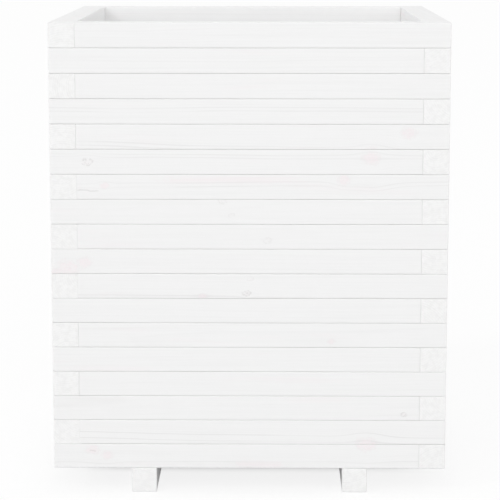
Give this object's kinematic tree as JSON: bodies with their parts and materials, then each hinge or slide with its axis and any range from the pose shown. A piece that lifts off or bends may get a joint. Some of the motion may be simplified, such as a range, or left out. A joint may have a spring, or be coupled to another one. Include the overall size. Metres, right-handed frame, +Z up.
{
  "type": "planter",
  "caption": "Tall square garden planter of stacked white pine beams with pinwheel corners, on runners, open at the top, with a slatted floor.",
  "frame": {"origin": "on the ground, under the middle of the box", "axes": "+Z up, +X to the right seen from the front, +Y towards the back, so the front faces -Y"},
  "size_m": [0.602, 0.602, 0.722],
  "materials": {
    "white_pine": "matt white paint on planed pine, with faint grain and knots",
    "floor_pine": "matt white paint on sawn pine",
    "peg_beech": "bare planed beech",
    "zinc_steel": "bright zinc plating"
  },
  "bodies": {
    "root": {"front_rear_beams_01": "white_pine", "side_beams_01": "white_pine", "front_rear_beams_02": "white_pine", "side_beams_02": "white_pine", "front_rear_beams_03": "white_pine", "side_beams_03": "white_pine", "front_rear_beams_04": "white_pine", "side_beams_04": "white_pine", "front_rear_beams_05": "white_pine", "side_beams_05": "white_pine", "front_rear_beams_06": "white_pine", "side_beams_06": "white_pine", "front_rear_beams_07": "white_pine", "side_beams_07": "white_pine", "front_rear_beams_08": "white_pine", "side_beams_08": "white_pine", "front_rear_beams_09": "white_pine", "side_beams_09": "white_pine", "front_rear_beams_10": "white_pine", "side_beams_10": "white_pine", "front_rear_beams_11": "white_pine", "side_beams_11": "white_pine", "front_rear_beams_12": "white_pine", "side_beams_12": "white_pine", "front_rear_beams_13": "white_pine", "side_beams_13": "white_pine", "front_rear_beams_14": "white_pine", "side_beams_14": "white_pine", "front_rear_beams_15": "white_pine", "side_beams_15": "white_pine", "front_rear_beams_16": "white_pine", "side_beams_16": "white_pine", "front_rear_beams_17": "white_pine", "side_beams_17": "white_pine", "front_rear_beams_18": "white_pine", "side_beams_18": "white_pine", "corner_peg_front_left": "peg_beech", "corner_peg_front_right": "peg_beech", "corner_peg_rear_right": "peg_beech", "corner_peg_rear_left": "peg_beech", "runner_left": "white_pine", "runner_right": "white_pine", "runner_screws": "zinc_steel", "floor_board_1": "floor_pine", "floor_board_2": "floor_pine", "floor_board_3": "floor_pine", "floor_board_4": "floor_pine", "floor_board_5": "floor_pine", "floor_board_6": "floor_pine"}
  },
  "joints": []
}
